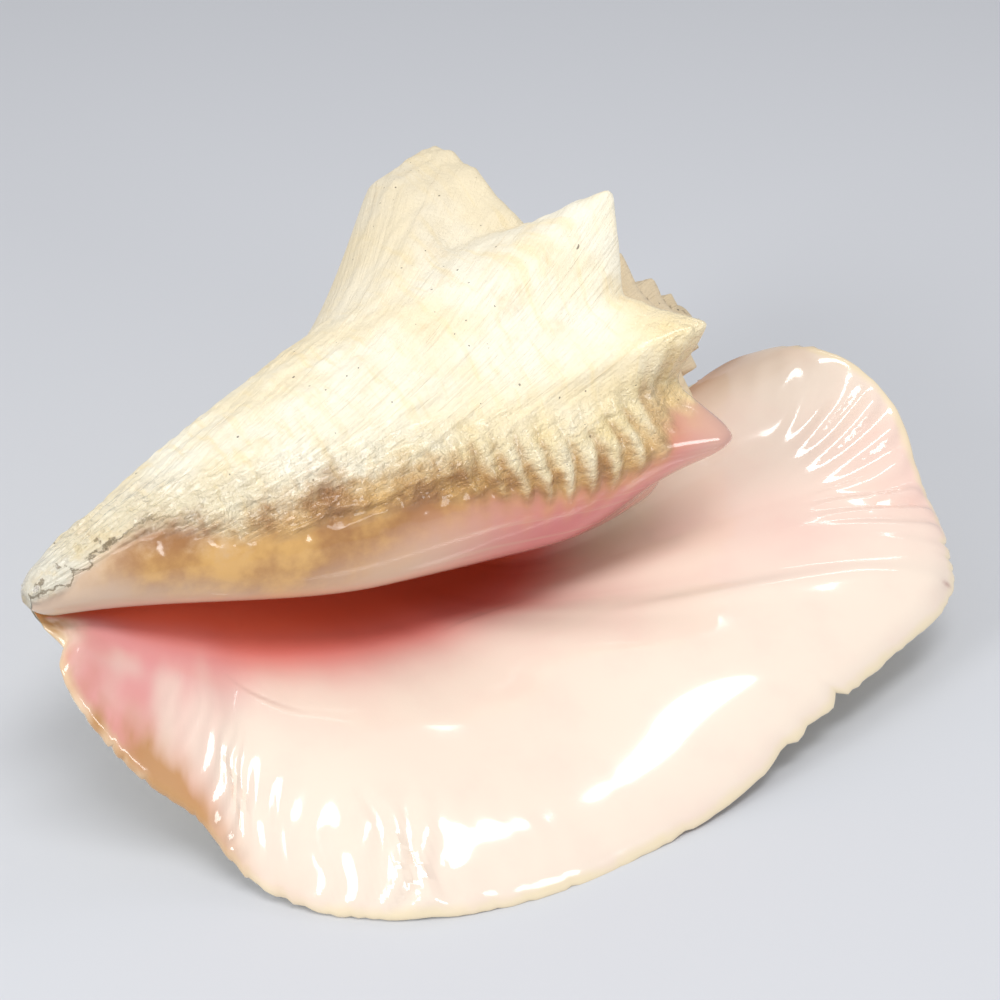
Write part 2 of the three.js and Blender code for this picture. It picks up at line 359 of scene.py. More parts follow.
@dataclass(frozen=True)
class Relief:
    """Low relief of the outside: spiral cords, growth lines, wrinkles and the crusty margin.

    Lengths and heights are in millimetres, and flute_starts and flute_ends are
    distances past the callus margin. cord_top is in shares of the shoulder's
    height, wrinkle_angle is a growth angle in degrees, and the margin is given
    by pairs of height and degrees.
    """

    growth: Growth = Growth()
    cords: int = 31
    cord_height: float = 0.42
    cord_sway: float = 0.25
    cord_top: Span = (0.96, 1.06)
    flute_height: float = 1.3
    flute_middle: float = 134.0
    flute_spread: float = 24.0
    flute_starts: Span = (-24.0, -5.0)
    flute_ends: Span = (1.0, 5.0)
    growth_height: float = 0.35
    lump_height: float = 0.8
    wrinkle_height: float = 3.4
    wrinkle_angle: float = -182.0
    wrinkle_middle: float = 158.0
    wrinkle_spread: float = 26.0
    crust_height: float = 1.3
    crust_middle: float = -4.0
    crust_width: float = 7.0
    crust_starts: Span = (14.0, 34.0)
    crust_thins: Span = (100.0, 135.0)
    crust_thinning: float = 0.6
    margin: tuple[Span, ...] = (
        (0, 60),
        (6, 73),
        (12, 97),
        (21, 102),
        (29, 95),
        (39, 79),
        (50, 62),
        (60, 58),
        (70, 56),
        (89, 53),
        (107, 48),
        (125, 42),
        (141, 42),
        (150, 48),
        (158, 58),
        (167, 60),
        (175, 62),
        (225, 64),
    )

    def from_margin(self, facing: Array, height: Array, reach: Array) -> Array:
        """Distance past the callus margin, in millimetres.

        The angle between a point and the margin line at its height, times the
        reach, taken the way from the margin to the aperture. The margin line is
        given by pairs of height and degrees.

        Args:
            facing: Angle round the axis in radians, between -pi and pi.
            height: Height on the axis.
            reach: Radius at the point.

        Returns:
            Positive on the glazed side, negative on the chalky side.
        """
        heights, degrees = zip(*self.margin)
        line = np.radians(np.interp(height, heights, degrees))
        return (line - facing) * reach

    def ribs(self, angle: Array, height: Array) -> Array:
        """Spiral ribs that sway a little along their way.

        A cosine of the rib number, which is the share of the way to the
        shoulder times the number of cords, plus noise.

        Args:
            angle: Growth angle in radians.
            height: Height on the axis.

        Returns:
            1 on a rib's top and 0 between two.
        """
        sway = self.cord_sway * wander(angle * 3.0, height / 40.0, Seed.RIB_SWAY, 2)
        return 0.5 + 0.5 * np.cos(TURN * (self.cords * height / self.growth.shoulder(angle) + sway))

    def fingers(self, angle: Array, height: Array) -> Array:
        """Ribs that reach into the glaze like fingers, weighted to the fluted part of the margin."""
        return self.ribs(angle, height) * bell(height, self.flute_middle, self.flute_spread)

    def outside(self, angle: Array, height: Array, past_margin: Array) -> Array:
        """Relief on the chalky outside.

        Cords are rounded ribs evenly spaced between siphon and shoulder, with
        deeper flutes near the margin; growth lines are noise drawn out on a
        slant to the axis; wrinkles gather on the blunt knob.

        Args:
            angle: Growth angle in radians.
            height: Height on the axis.
            past_margin: Distance past the callus margin.

        Returns:
            The offset in millimetres.
        """
        scale, shoulder = self.growth.scale(angle), self.growth.shoulder(angle)
        degrees, spread = np.degrees(angle), self.wrinkle_spread
        rib = self.ribs(angle, height)
        strength = 0.55 + 0.45 * wander(angle * 5.0, height / 18.0, Seed.CORD_STRENGTH, 2)
        below = 1.0 - ease(height / shoulder, *self.cord_top)
        cords = self.cord_height * scale * (rib**1.5 - 0.4) * strength * below
        near = ease(past_margin, *self.flute_starts) * (1.0 - ease(past_margin, *self.flute_ends))
        flutes = self.flute_height * (rib - 0.5) * near * bell(height, self.flute_middle, self.flute_spread)
        slanted = degrees - GROWTH_SLANT * height
        lines = self.growth_height * wander(slanted / 4.0, height / 70.0, Seed.GROWTH_LINES) * scale
        lumps = self.lump_height * wander(angle * 9.0, height / 13.0, Seed.LUMPS) * scale
        knob = bell(degrees, self.wrinkle_angle, spread) * bell(height, self.wrinkle_middle, spread)
        folds = np.abs(wander(degrees / 9.0 + height / 40.0, height / 44.0, Seed.WRINKLES))
        wrinkles = self.wrinkle_height * (0.45 - folds) * knob
        return cords + flutes + lines + lumps + wrinkles

    def crust(self, height: Array, past_margin: Array) -> Array:
        """Lumpy edge of the glaze: ridged noise in a band about the margin line.

        Args:
            height: Height on the axis.
            past_margin: Distance past the callus margin.

        Returns:
            The offset in millimetres.
        """
        band = bell(past_margin, self.crust_middle, self.crust_width)
        band = band * (1.0 - self.crust_thinning * ease(height, *self.crust_thins))
        ridges = 0.5 - np.abs(wander(past_margin / 6.0, height / 6.5, Seed.CRUST))
        return self.crust_height * ridges * (band * ease(height, *self.crust_starts))


@dataclass(frozen=True)
class Core:
    """Every whorl up to the seam, with the callus that faces the aperture.

    A pair is the two ends of a range: degrees of growth back from the lip for
    chalky_back and old_back, degrees round the axis for deep_angles,
    millimetres past the margin for relief_fades and deep_past_margin, and
    heights on the axis for the others.
    """

    growth: Growth = Growth()
    knobs: Knobs = Knobs()
    relief: Relief = Relief()
    earlier: int = 4
    columns: int = 420
    rows: int = 230
    row_crowding: float = 0.06
    siphon_rounding: float = 6.0
    callus_angle: float = math.radians(12.0)
    callus_spread: float = math.radians(40.0)
    callus_inner_spread: float = math.radians(26.0)
    callus_thickness: float = 9.0
    callus_heights: tuple[float, float, float, float] = (8.0, 85.0, 135.0, 195.0)
    thin_share: float = 0.24
    thin_ease: float = 40.0
    thin_top: float = 160.0
    thin_fade: float = 30.0
    back_from: float = 130.0
    relief_from: float = -30.0
    relief_fades: Span = (-1.0, 3.0)
    relief_starts: Span = (4.0, 16.0)
    relief_ends: Span = (208.0, 222.0)
    chalky_back: Span = (358.0, 366.0)
    old_back: Span = (375.0, 440.0)
    deep_angles: Span = (-30.0, 6.0)
    deep_past_margin: Span = (0.0, 12.0)
    deep_heights: Span = (12.0, 40.0)
    blush_grows: Span = (70.0, 145.0)
    blush_fades: Span = (146.0, 164.0)
    blush_fading: float = 0.6

    def callus(self, facing: Array, height: Array) -> Array:
        """Thickness of the callus: a bell round the axis, eased in and out along it.

        Args:
            facing: Angle round the axis in radians, between -pi and pi.
            height: Height on the axis.

        Returns:
            The thickness in millimetres.
        """
        away = facing - self.callus_angle
        off = away / np.where(away < 0.0, self.callus_inner_spread, self.callus_spread)
        start, full, end, stop = self.callus_heights
        along = ease(height, start, full) * (1.0 - ease(height, end, stop))
        return self.callus_thickness * np.exp(-off * off) * along

    def thinning(self, facing: Array, height: Array) -> Array:
        """Thinned walls inside the aperture: eased in from the seam and out at the callus and top.

        Args:
            facing: Angle round the axis in radians, between -pi and pi.
            height: Height on the axis.

        Returns:
            Share of the radius that is left.
        """
        degrees, seam = np.degrees(facing), math.degrees(SEAM)
        opens = ease(degrees, seam, seam + self.thin_ease)
        closes = 1.0 - ease(degrees, -self.thin_ease, 0.0)
        low = 1.0 - ease(height, self.thin_top - self.thin_fade, self.thin_top)
        return 1.0 - self.thin_share * opens * closes * low

    def furthest(self, around: Array, height: Array) -> tuple[Array, Array, Array]:
        """The whorl that stands furthest out at each angle and height.

        Args:
            around: Angle round the axis in radians, one column for each.
            height: Height on the axis, one row for each.

        Returns:
            Its radius without knobs, its knobs' stand-off and its growth angle.
        """
        shape = np.broadcast_shapes(around.shape, height.shape)
        radius, knob = np.zeros(shape), np.zeros(shape)
        angle = np.broadcast_to(around - TURN, shape).copy()
        for whorl in range(self.earlier + 1):
            here = around - TURN * (whorl + 1)
            next_radius = self.growth.radius(here, height)
            next_knob = self.knobs.stand_off(here, height)
            further = next_radius + next_knob > radius + knob
            radius = np.where(further, next_radius, radius)
            knob = np.where(further, next_knob, knob)
            angle = np.where(further, here, angle)
        return radius, knob, angle

    def masks(self, past: Array, facing: Array, behind: Array, angle: Array, height: Array) -> Masks:
        """Masks of the core, a value for each point.

        Args:
            past: Distance past the callus margin.
            facing: Angle round the axis in radians, between -pi and pi.
            behind: Whether a point is on the back of the shell.
            angle: Growth angle in radians.
            height: Height on the axis.

        Returns:
            A mask array for each name.
        """
        degrees = np.degrees(angle)
        past = mix(past, FULL_CHALK, ease(-degrees, *self.chalky_back))
        deep = 1.0 - ease(np.degrees(facing), *self.deep_angles)
        deep = np.where(behind, 0.0, deep) * ease(past, *self.deep_past_margin)
        blush = ease(height, *self.blush_grows) * (1.0 - self.blush_fading * ease(height, *self.blush_fades))
        whole = np.ones_like(past)
        return {
            "glaze": past,
            "deep": deep * ease(height, *self.deep_heights),
            "blush": blush * whole,
            "rim": FAR_FROM_RIM * whole,
            "old": ease(-degrees, *self.old_back),
            "crease_shade": 0.0 * whole,
            "callus": 1.0 - deep,
            "finger": self.relief.fingers(angle, height),
            "stain": 0.0 * whole,
            "turn": degrees,
            "height": height * whole,
        }

    def grid(self) -> tuple[Array, Masks]:
        """Points and masks of the core, one column per angle and one row per height.

        At each angle and height the furthest of the whorls there counts, thinned
        inside the aperture, thickened by the callus and moved by the relief, and
        the knobs lean off it. Both ends close to a pole on the axis.

        Returns:
            Points in the shell's frame, and a mask array for each name.
        """
        turned = np.linspace(0.0, 1.0, self.columns)[:, None]
        share = np.linspace(0.0, 1.0, self.rows)[None, :]
        height = self.growth.axis_length * (share + self.row_crowding * np.sin(TURN * share) / TURN)
        around = SEAM + TURN * turned
        radius, knob, angle = self.furthest(around, height)
        facing = np.where(around > math.pi, around - TURN, around)
        behind = np.degrees(around) > self.back_from
        past = self.relief.from_margin(facing, height, radius)
        relief = self.relief.outside(angle, height, past) * (1.0 - ease(past, *self.relief_fades))
        fade = ease(height, *self.relief_starts) * (1.0 - ease(height, *self.relief_ends))
        relief = (relief + self.relief.crust(height, past)) * fade
        relief = np.where((np.degrees(facing) > self.relief_from) | behind, relief, 0.0)
        radius = radius * self.thinning(facing, height) + self.callus(facing, height)
        tip = clamp(height / self.siphon_rounding)
        radius = (radius + relief) * np.sqrt(tip * (2.0 - tip))
        radius[:, -1] = 0.0
        knob[:, -1] = 0.0
        past = np.where(behind, self.relief.from_margin(around, height, radius), past)
        return round_axis(radius, knob, around, height), self.masks(past, facing, behind, angle, height)


@dataclass(frozen=True)
class LastWhorl:
    """The open last whorl and its flared lip, a wall between an outer and an inner face.

    Shares along run from the seam to the lip edge, and shares across from the
    siphon to the spire. A pair is a middle and a width, or the two ends of a
    range.
    """

    growth: Growth = Growth()
    knobs: Knobs = Knobs()
    relief: Relief = Relief()
    start: float = math.radians(-145.0)
    sink: float = 0.9
    proud: float = 0.45
    flare: float = math.radians(-65.0)
    low: float = 3.0
    top: float = 24.8
    wall: float = 5.0
    lip_wall: float = 4.2
    rim_part: float = 0.03
    side_part: float = 0.04
    suture_part: float = 0.79
    suture_pull: float = 0.53
    siphon_part: float = 0.22
    siphon_thinning: float = 0.35
    body_part: float = 0.42
    curl: Point = (0.25, 0.0, -0.55)
    curl_fade: Span = (0.7, 0.88)
    steps: tuple[int, int, int] = (46, 112, 12)
    across: int = 290
    leaving_step: float = 0.001
    slope_step: float = 0.002
    fold_height: float = 0.8
    fold_starts: Span = (0.5, 5.0)
    fold_ends: Span = (16.0, 38.0)
    front_folds: float = 56.0
    front_place: Span = (0.34, 0.085)
    wing_folds: float = 50.0
    wing_place: Span = (0.79, 0.065)
    wing_share: float = 1.4
    wing_slant: float = 24.0
    crest_height: float = 1.3
    crest_width: float = 0.014
    crest_line: Span = (0.615, 0.668)
    wave_height: float = 0.5
    chip_depth: float = 1.6
    chip_cells: float = 170.0
    chip_starts: Span = (0.08, 0.16)
    chip_ends: Span = (0.9, 0.96)
    chip_reach: float = 9.0
    relief_turn: float = 0.6
    relief_leaves_seam: Span = (0.02, 0.1)
    relief_leaves_siphon: Span = (0.02, 0.08)
    relief_ends: Span = (0.7, 0.86)
    rim_glaze: float = -6.0
    rim_glaze_reach: float = 4.0
    throat_fades: Span = (0.46, 0.68)
    flare_turn: float = 90.0
    throat_blush: Span = (0.52, 0.76)
    siphon_blush: Span = (0.15, 0.1)
    wing_blush: Span = (0.76, 0.1)
    notch_blush: Span = (0.93, 0.035)
    blush_strengths: tuple[float, float, float, float] = (0.75, 0.3, 0.5, 0.12)
    # Painted shade of the creases and the nick on the aperture floor: the width of its lines and its
    # strength.
    crease_shade_width: float = 0.004
    crease_shade_strength: float = 0.5
    front_stain: Span = (0.19, 0.08)
    roll_stain: Span = (0.91, 0.045)
    stain_reach: Span = (9.0, 24.0)
    edge: tuple[Point, ...] = (
        (7, 3, -4),
        (14, 5, -4),
        (20, 1, -2),
        (37, 4, -6),
        (51, 10, -9),
        (64, 17, -9),
        (82, 21, -8),
        (98, 31, 1),
        (110, 48, 12),
        (119, 72, 19.8),
        (123, 98, 24),
        (123, 129, 29.5),
        (116, 162, 37),
        (112, 189, 40),
        (106, 217, 42),
        (94, 226, 41),
        (77, 233, 37),
        (50, 239, 37),
        (28, 232, 31),
        (18, 224, 5),
        (23, 211, 2),
        (19, 191, -6),
    )

    def lip(self, across: Array) -> Array:
        """Point on the lip edge: a centripetal Catmull-Rom curve through the edge points.

        Each span is a cubic in its own share of the way, with end slopes from
        the neighbours weighted by the square roots of the distances.

        Args:
            across: Share of the way from the siphon notch to the spire.

        Returns:
            Points with a last axis of three.
        """
        given = np.array(self.edge, float)
        points = np.vstack([2 * given[0] - given[1], given, 2 * given[-1] - given[-2]])
        gaps = np.sqrt(np.linalg.norm(np.diff(points, axis=0), axis=1))
        place = clamp(across) * (len(given) - 1)
        span = np.minimum(place.astype(int), len(given) - 2)
        t = (place - span)[..., None]
        p0, p1, p2, p3 = (points[span + k] for k in range(4))
        g0, g1, g2 = (gaps[span + k][..., None] for k in range(3))
        t1 = ((p1 - p0) / g0 - (p2 - p0) / (g0 + g1) + (p2 - p1) / g1) * g1
        t2 = ((p2 - p1) / g1 - (p3 - p1) / (g1 + g2) + (p3 - p2) / g2) * g1
        cubic = 2 * p1 - 2 * p2 + t1 + t2
        square = -3 * p1 + 3 * p2 - 2 * t1 - t2
        return ((cubic * t + square) * t + t1) * t + p1

    def section(self, angle: Array, across: Array, knobs: bool) -> Array:
        """Body whorl at a growth angle: the whorl's own profile from siphon to past the shoulder.

        Args:
            angle: Growth angle in radians.
            across: Share of the way from the siphon to the suture.
            knobs: Whether the knobs stay on as the wall leaves the core.

        Returns:
            Points in the shell's frame, pulled in towards the axis at the suture.
        """
        top = self.growth.shoulder(angle) + self.top * self.growth.scale(angle)
        height = mix(self.low, top, across)
        out = ease(angle, self.start, SEAM)
        radius = self.growth.radius(angle, height) + mix(-self.sink, self.proud, out)
        knob = self.knobs.stand_off(angle, height) * (1.0 if knobs else 1.0 - out)
        points = round_axis(radius, knob, angle, height)
        pull = 1.0 - self.suture_pull * ease(across, self.suture_part, 1.0)
        points[..., 0] *= pull
        points[..., 2] *= pull
        return points

    def middle(self, along: Array, across: Array, knobs: bool) -> Array:
        """The wall without thickness.

        The body whorl first; past body_part a Hermite curve leaves it along its
        own direction and arrives at the lip edge with an outward curl.

        Args:
            along: Share of the way from the start of the whorl to the lip edge.
            across: Share of the way from the siphon to the suture.
            knobs: Whether the knobs stand on this face.

        Returns:
            Points in the shell's frame.
        """
        along, across = np.broadcast_arrays(along, across)
        angle = mix(self.start, self.flare, clamp(along / self.body_part))
        start = self.section(angle, across, knobs)
        onward = self.section(angle + self.leaving_step, across, False)
        leave = unit(onward - self.section(angle, across, False))
        edge = self.lip(across)
        reach = length(edge - start)
        curled = 1.0 - ease(across, *self.curl_fade)
        arrive = unit((edge - start) / reach + np.array(self.curl) * curled[..., None])
        t = clamp((along - self.body_part) / (1.0 - self.body_part))[..., None]
        flared = start * (2 * t**3 - 3 * t**2 + 1) + edge * (3 * t**2 - 2 * t**3)
        flared = flared + leave * reach * (t**3 - 2 * t**2 + t) + arrive * reach * (t**3 - t**2)
        return np.where(along[..., None] < self.body_part, start, flared)

    def spacing(self) -> Array:
        """Steps along the wall: even on the body, even on the flare, short at the rim.

        Returns:
            Shares of the way to the lip edge, the rim's going by the square of what is left.
        """
        body, flare, rim = self.steps
        last = 1.0 - self.rim_part
        on_body = np.linspace(0.0, self.body_part, body, endpoint=False)
        on_flare = np.linspace(self.body_part, last, flare, endpoint=False)
        left = np.linspace(1.0, 0.0, rim + 1)
        return np.concatenate([on_body, on_flare, 1.0 - self.rim_part * left * left])

    def folds(self, along: Array, across: Array, to_edge: Array) -> Array:
        """Radial folds of the inner face near the rim.

        Cosine waves along the edge in two stretches, at the front and on the
        wing, strongest a little inside the rim and gone further in.

        Args:
            along: Share of the way to the lip edge.
            across: Share of the way from the siphon to the suture.
            to_edge: Distance to the lip edge in millimetres.

        Returns:
            The offset in millimetres.
        """
        wobble = 0.8 * wander(across * 24.0, along * 8.0, Seed.FOLD_WOBBLE, 2)
        front = np.cos(TURN * (across * self.front_folds + 8.0 * along + wobble))
        front = front * bell(across, *self.front_place)
        slant = self.wing_slant * ease(across, 0.7, 0.86) * (along - 1.0)
        wing = np.cos(TURN * (across * self.wing_folds - slant + 0.4 * wobble))
        wing = wing * bell(across, *self.wing_place)
        fade = ease(to_edge, *self.fold_starts) * (1.0 - ease(to_edge, *self.fold_ends))
        strength = 0.8 + 0.9 * wander(across * 26.0, along * 3.0, Seed.FOLD_STRENGTH, 2)
        return self.fold_height * (front + self.wing_share * wing) * fade * clamp(strength, 0.1, 1.6)

    def swells(self, along: Array, across: Array, to_edge: Array) -> Array:
        """Broad unevenness of the inner face: the long crest to the corner, and slow waves.

        Args:
            along: Share of the way to the lip edge.
            across: Share of the way from the siphon to the suture.
            to_edge: Distance to the lip edge in millimetres.

        Returns:
            The offset in millimetres.
        """
        crest_line = mix(*self.crest_line, ease(along, 0.6, 1.0))
        crest = self.crest_height * bell(across, crest_line, self.crest_width) * ease(along, 0.7, 0.84)
        waves = wander(across * 9.0, along * 5.0, Seed.SLOW_WAVES, 2)
        return (crest + self.wave_height * waves * ease(along, 0.5, 0.7)) * ease(to_edge, 0.0, 10.0)

    def chips(self, across: Array) -> Array:
        """Depth of the chips in the lip edge: ridged noise, where slower noise lets it show.

        Args:
            across: Share of the way from the siphon to the suture.

        Returns:
            The depth in millimetres.
        """
        ragged = np.abs(wander(across * self.chip_cells, across * 3.0, Seed.CHIPS)) ** 1.5
        shown = ease(wander(across * 14.0, across, Seed.CHIPPED_STRETCHES, 2), -0.1, 0.5)
        some = 0.35 + 0.65 * shown + 0.3 * bell(across, 0.58, 0.07)
        depth = self.chip_depth * ragged * some
        return depth * ease(across, *self.chip_starts) * (1.0 - ease(across, *self.chip_ends))

    def directions(self, along: Array, across: Array) -> tuple[Array, Array]:
        """Unit directions on the middle of the wall.

        The onward one is the difference between a small step ahead and one back,
        and the normal is its cross product with the same difference across.

        Args:
            along: Share of the way to the lip edge.
            across: Share of the way from the siphon to the suture.

        Returns:
            The normal, towards the inner face, and the way on to the lip edge.
        """
        step = self.slope_step
        ahead = self.middle(clamp(along + step), across, False)
        ahead = ahead - self.middle(clamp(along - step), across, False)
        aside = self.middle(along, clamp(across + step), False)
        aside = aside - self.middle(along, clamp(across - step), False)
        return unit(np.cross(ahead, aside)), unit(ahead)

    def side(self, which: Side) -> tuple[Array, Masks]:
        """Points and masks of one face.

        The middle surface moved along its normal by its share of a thickness
        that rounds off to nothing at the rim and at both sides, plus relief.

        Args:
            which: The outer or the inner face.

        Returns:
            Points in the shell's frame, and a mask array for each name.
        """
        inner = which is Side.INNER
        along = self.spacing()[:, None]
        across = np.linspace(0.0, 1.0, self.across)[None, :]
        points = self.middle(along, across, not inner)
        plain = self.middle(along, across, False)
        normal, onward = self.directions(along, across)
        edges = self.round_off(1.0 - along, self.rim_part) * self.round_off(along, self.side_part)
        sides = self.round_off(across, self.side_part) * self.round_off(1.0 - across, self.side_part)
        flared = ease(along, self.body_part, 1.0)
        fill = mix(self.siphon_thinning, 1.0, ease(across, 0.0, self.siphon_part))
        thickness = mix(self.wall, self.lip_wall, flared) * edges * sides * fill
        share = 1.0 - 0.5 * flared if inner else -0.5 * flared
        points = points + normal * (thickness * share)[..., None]
        to_edge = length(self.lip(across) - plain)[..., 0]
        chipped = self.chips(across) * bell(to_edge, 0.0, self.chip_reach)
        points = points - onward * chipped[..., None]
        closed = np.minimum(edges * sides, 1.0)
        height = plain[..., 1]
        angle = mix(self.start, self.flare, clamp(along / self.body_part)) + 0.0 * across
        if inner:
            offset = self.folds(along, across, to_edge) + self.swells(along, across, to_edge)
            points = points + normal * (offset * closed)[..., None]
            glaze = np.full(closed.shape, FULL_GLAZE)
        else:
            past = np.full(closed.shape, FULL_CHALK)
            offset = self.relief.outside(angle + self.relief_turn * flared, height, past)
            offset = offset * ease(along, *self.relief_leaves_seam) * ease(across, *self.relief_leaves_siphon)
            offset = offset * (1.0 - ease(across, *self.relief_ends))
            points = points - normal * (offset * closed)[..., None]
            glaze = mix(FULL_CHALK, self.rim_glaze, bell(to_edge, 0.0, self.rim_glaze_reach))
        whole = np.ones_like(closed)
        inside = 1.0 if inner else 0.0
        masks = {
            "glaze": glaze,
            "deep": inside * (1.0 - ease(along, *self.throat_fades)) * whole,
            "blush": inside * self.blush(along, across),
            "rim": to_edge,
            "old": 0.0 * whole,
            # Painted shade in the creases and the nick of the aperture floor.
            "crease_shade": inside * self.painted_crease_shade(along, across, to_edge),
            "callus": 0.0 * whole,
            "finger": 0.0 * whole,
            "stain": self.stain(along, across, to_edge),
            "turn": np.degrees(angle) + self.flare_turn * flared,
            "height": height,
        }
        return points, masks

    def round_off(self, distance: Array, part: float) -> Array:
        """Quarter-round from 0 at the border to 1 at a distance of part."""
        inside = clamp(distance / part)
        return np.sqrt(inside * (2.0 - inside))

    def blush(self, along: Array, across: Array) -> Array:
        """Pink on the inner face: strong by the throat and in the siphon, faint on the wing.

        Args:
            along: Share of the way to the lip edge.
            across: Share of the way from the siphon to the suture.

        Returns:
            0 where the face is cream, 1 where it is pink.
        """
        by_throat, on_wing, in_notch, by_noise = self.blush_strengths
        throat = 1.0 - ease(along, *self.throat_blush)
        mottled = 0.75 + 0.35 * wander(across * 30.0, along * 7.0, Seed.SIPHON_BLUSH, 2)
        siphon = bell(across, *self.siphon_blush) * mottled
        wing = on_wing * bell(across, *self.wing_blush) * ease(along, 0.55, 0.8)
        notch = in_notch * bell(across, *self.notch_blush)
        uneven = by_noise * wander(across * 12.0, along * 6.0, Seed.BLUSH)
        return clamp(by_throat * throat + siphon + wing + notch + uneven)

    def painted_crease_shade(self, along: Array, across: Array, to_edge: Array) -> Array:
        """Painted shade in two faint creases on the floor of the aperture, and in a nick near the corner.

        The first follows a parabola along the wall and the second a straight
        slant, and each is a narrow bell along by a wide bell across.

        Args:
            along: Share of the way to the lip edge.
            across: Share of the way from the siphon to the suture.
            to_edge: Distance to the lip edge in millimetres.

        Returns:
            Painted shade: 1 in the nick, 0.5 in a crease, 0 elsewhere.
        """
        width, strength = self.crease_shade_width, self.crease_shade_strength
        first = bell(along, 0.60 + 0.9 * (across - 0.61) ** 2, width) * bell(across, 0.6, 0.05)
        second = bell(along, 0.66 + 0.5 * (across - 0.3), width) * bell(across, 0.31, 0.03)
        nick = bell(across, 0.671, 0.0025) * bell(to_edge, 3.5, 1.6)
        return clamp(strength * first + strength * second + nick)

    def stain(self, along: Array, across: Array, to_edge: Array) -> Array:
        """Yellow-brown tinge of the rim towards the siphon, and of the rolled edge by the spire.

        Args:
            along: Share of the way to the lip edge.
            across: Share of the way from the siphon to the suture.
            to_edge: Distance to the lip edge in millimetres.

        Returns:
            0 where the face is clean, 1 where it is stained.
        """
        patchy = 0.75 + 0.5 * wander(across * 60.0, along * 9.0, Seed.STAIN)
        at_front, at_roll = self.stain_reach
        front = 1.6 * bell(across, *self.front_stain) * bell(to_edge, 0.0, at_front)
        front = front + bell(across, 0.0, 0.05)
        roll = bell(across, *self.roll_stain) * bell(to_edge, 0.0, at_roll)
        return clamp((front + roll) * patchy)


@dataclass
class Conch:
    """The whole shell: the core and the last whorl, each a closed mesh that faces out."""

    core: Core = field(default_factory=Core)
    last: LastWhorl = field(default_factory=LastWhorl)
    resting: Resting = field(default_factory=Resting)

    def core_faces(self, columns: int, rows: int) -> Array:
        """Quads round the core, with the seam wall closing the last column on the first.

        Args:
            columns: Columns of points round the core.
            rows: Points in each column.

        Returns:
            Quads, where every point of a pole is the pole's first point.
        """
        c = np.arange(columns)[:, None]
        r = np.arange(rows - 1)[None, :]
        right = (c + 1) % columns
        corners = (c * rows + r, c * rows + r + 1, right * rows + r + 1, right * rows + r)
        faces = np.stack(np.broadcast_arrays(*corners), -1).reshape(-1, 4)
        for pole in (0, rows - 1):
            whole = np.arange(columns) * rows + pole
            faces = np.where(np.isin(faces, whole), pole, faces)
        return faces

    def wall_faces(self, steps: int, across: int) -> Array:
        """Quads of both faces of the last whorl, which share their border points.

        Args:
            steps: Rows along the wall.
            across: Columns across the wall.

        Returns:
            Quads, with the outer face's points numbered first.
        """
        outer = np.arange(steps * across).reshape(steps, across)
        inner = outer + steps * across
        for border in (np.s_[0, :], np.s_[-1, :], np.s_[:, 0], np.s_[:, -1]):
            inner[border] = outer[border]
        made = []
        for index, flip in ((outer, False), (inner, True)):
            a, b, c, d = index[:-1, :-1], index[1:, :-1], index[1:, 1:], index[:-1, 1:]
            quad = (a, d, c, b) if flip else (a, b, c, d)
            made.append(np.stack(quad, -1).reshape(-1, 4))
        return np.concatenate(made)

    def piece(self, name: str, points: Array, faces: Array, masks: Masks) -> bpy.types.Object:
        """One closed mesh in the row frame, with its masks as point attributes.

        Args:
            name: Name of the piece.
            points: Points in the shell's frame.
            faces: Corner indices, four to a row; unused points are dropped.
            masks: A value for each point, by name.

        Returns:
            The piece, at the origin.
        """
        used = np.unique(faces)
        fresh = np.full(len(points), -1)
        fresh[used] = np.arange(len(used))
        mesh = mesh_of(name + "_mesh", self.resting.place(points)[used], fresh[faces])
        for mask, values in masks.items():
            attribute = mesh.attributes.new(mask, "FLOAT", "POINT")
            attribute.data.foreach_set("value", values[used].astype(np.float32))
        made = bpy.data.objects.new(name, mesh)
        bpy.context.scene.collection.objects.link(made)
        return made

    def build(self) -> list[bpy.types.Object]:
        """Make both pieces.

        Returns:
            The early whorls with the callus, and the last whorl with the lip.
        """
        points, masks = self.core.grid()
        flat = {name: mask.ravel() for name, mask in masks.items()}
        faces = self.core_faces(*points.shape[:2])
        early = self.piece("early_whorls", points.reshape(-1, 3), faces, flat)
        outer, outer_masks = self.last.side(Side.OUTER)
        inner, inner_masks = self.last.side(Side.INNER)
        walls = np.concatenate([outer.reshape(-1, 3), inner.reshape(-1, 3)])
        joined = {n: np.concatenate([outer_masks[n].ravel(), inner_masks[n].ravel()]) for n in outer_masks}
        last = self.piece("last_whorl", walls, self.wall_faces(*outer.shape[:2]), joined)
        return [early, last]


def mesh_of(name: str, points: Array, quads: Array) -> bpy.types.Mesh:
    """Mesh of quads, where a quad with a repeated corner becomes a triangle.

    Args:
        name: Name of the mesh.
        points: Points, one row each.
        quads: Corner indices, four to a row.

    Returns:
        The mesh, smooth shaded, with sharp edges past SHARP_ANGLE.
    """
    doubled = quads == np.roll(quads, -1, axis=1)
    full = quads[~doubled.any(axis=1)]
    partly = quads[doubled.sum(axis=1) == 1]
    keep = ~(partly == np.roll(partly, -1, axis=1))
    triangles = partly[keep].reshape(-1, 3)
    mesh = bpy.data.meshes.new(name)
    mesh.from_pydata(points.tolist(), [], full.tolist() + triangles.tolist())
    mesh.polygons.foreach_set("use_smooth", np.ones(len(mesh.polygons), bool))
    mesh.set_sharp_from_angle(angle=SHARP_ANGLE)
    mesh.update()
    return mesh


def linear(red: int, green: int, blue: int) -> tuple[float, float, float, float]:
    """Scene-linear colour of a display colour, by the standard display curve.

    Args:
        red: Red, up to 255.
        green: Green, up to 255.
        blue: Blue, up to 255.

    Returns:
        Red, green, blue and a full alpha, up to 1.
    """
    values = [c / 255.0 for c in (red, green, blue)]
    parts = [c / 12.92 if c <= 0.04045 else ((c + 0.055) / 1.055) ** 2.4 for c in values]
    return (parts[0], parts[1], parts[2], 1.0)


